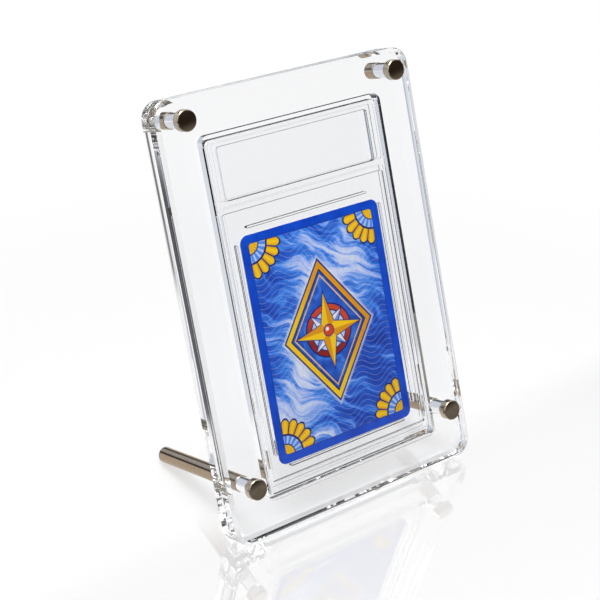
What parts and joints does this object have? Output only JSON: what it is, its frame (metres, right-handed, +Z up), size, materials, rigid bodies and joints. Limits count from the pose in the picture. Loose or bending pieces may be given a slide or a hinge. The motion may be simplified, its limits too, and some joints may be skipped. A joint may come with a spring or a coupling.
{
  "type": "trading card display case",
  "caption": "Leaning clear case: two screw-fixed acrylic panels clamp a card slab, propped on long round legs behind the lower corners.",
  "frame": {"origin": "middle of the bounding box in X and Y, on the surface that the case stands on", "axes": "+Z up, +X to the right seen from the front, the display face looks towards -Y and leans back"},
  "size_m": [0.114, 0.071, 0.1625],
  "materials": {
    "panel_acrylic": "polished clear cast acrylic",
    "slab_plastic": "clear moulded plastic",
    "washer_plastic": "clear soft plastic",
    "card_print": "coated printed card, blue",
    "satin_nickel": "satin nickel, turned and brushed",
    "stud_steel": "bright zinc steel thread"
  },
  "bodies": {
    "back": {"back_panel": "panel_acrylic", "barrel_left": "satin_nickel", "barrel_right": "satin_nickel", "leg_left": "satin_nickel", "leg_right": "satin_nickel"},
    "front": {"front_panel": "panel_acrylic"},
    "slab": {"slab_front_shell": "slab_plastic", "slab_back_shell": "slab_plastic", "trading_card": "card_print"},
    "washer_top_left_body": {"washer_top_left": "washer_plastic"},
    "screw_top_left": {"cap_top_left": "satin_nickel", "stud_top_left": "stud_steel"},
    "washer_top_right_body": {"washer_top_right": "washer_plastic"},
    "screw_top_right": {"cap_top_right": "satin_nickel", "stud_top_right": "stud_steel"},
    "washer_bottom_left_body": {"washer_bottom_left": "washer_plastic"},
    "screw_bottom_left": {"cap_bottom_left": "satin_nickel", "stud_bottom_left": "stud_steel"},
    "washer_bottom_right_body": {"washer_bottom_right": "washer_plastic"},
    "screw_bottom_right": {"cap_bottom_right": "satin_nickel", "stud_bottom_right": "stud_steel"}
  },
  "joints": [
    {"name": "front_lift", "type": "slide", "parent": "back", "child": "front", "axis": [0, -0.9502, 0.3117], "range_m": [0, 0.03]},
    {"name": "slab_lift", "type": "slide", "parent": "back", "child": "slab", "axis": [0, -0.9502, 0.3117], "range_m": [0, 0.015]},
    {"name": "travel_top_left", "type": "slide", "parent": "front", "child": "washer_top_left_body", "axis": [0, -0.9502, 0.3117], "range_m": [0, 0.005]},
    {"name": "turn_top_left", "type": "hinge", "parent": "washer_top_left_body", "child": "screw_top_left", "pos_m": [-0.047, 0.01295, 0.15558], "axis": [0, -0.9502, 0.3117], "range_deg": [0, 3600]},
    {"name": "travel_top_right", "type": "slide", "parent": "front", "child": "washer_top_right_body", "axis": [0, -0.9502, 0.3117], "range_m": [0, 0.005]},
    {"name": "turn_top_right", "type": "hinge", "parent": "washer_top_right_body", "child": "screw_top_right", "pos_m": [0.047, 0.01295, 0.15558], "axis": [0, -0.9502, 0.3117], "range_deg": [0, 3600]},
    {"name": "travel_bottom_left", "type": "slide", "parent": "front", "child": "washer_bottom_left_body", "axis": [0, -0.9502, 0.3117], "range_m": [0, 0.005]},
    {"name": "turn_bottom_left", "type": "hinge", "parent": "washer_bottom_left_body", "child": "screw_bottom_left", "pos_m": [-0.047, -0.03015, 0.02417], "axis": [0, -0.9502, 0.3117], "range_deg": [0, 3600]},
    {"name": "travel_bottom_right", "type": "slide", "parent": "front", "child": "washer_bottom_right_body", "axis": [0, -0.9502, 0.3117], "range_m": [0, 0.005]},
    {"name": "turn_bottom_right", "type": "hinge", "parent": "washer_bottom_right_body", "child": "screw_bottom_right", "pos_m": [0.047, -0.03015, 0.02417], "axis": [0, -0.9502, 0.3117], "range_deg": [0, 3600]}
  ],
  "couplings": [
    {"joint": "slab_lift", "follows": "front_lift", "ratio": 0.5},
    {"joint": "turn_top_left", "follows": "travel_top_left", "rad_per_m": 12566},
    {"joint": "turn_top_right", "follows": "travel_top_right", "rad_per_m": 12566},
    {"joint": "turn_bottom_left", "follows": "travel_bottom_left", "rad_per_m": 12566},
    {"joint": "turn_bottom_right", "follows": "travel_bottom_right", "rad_per_m": 12566}
  ]
}
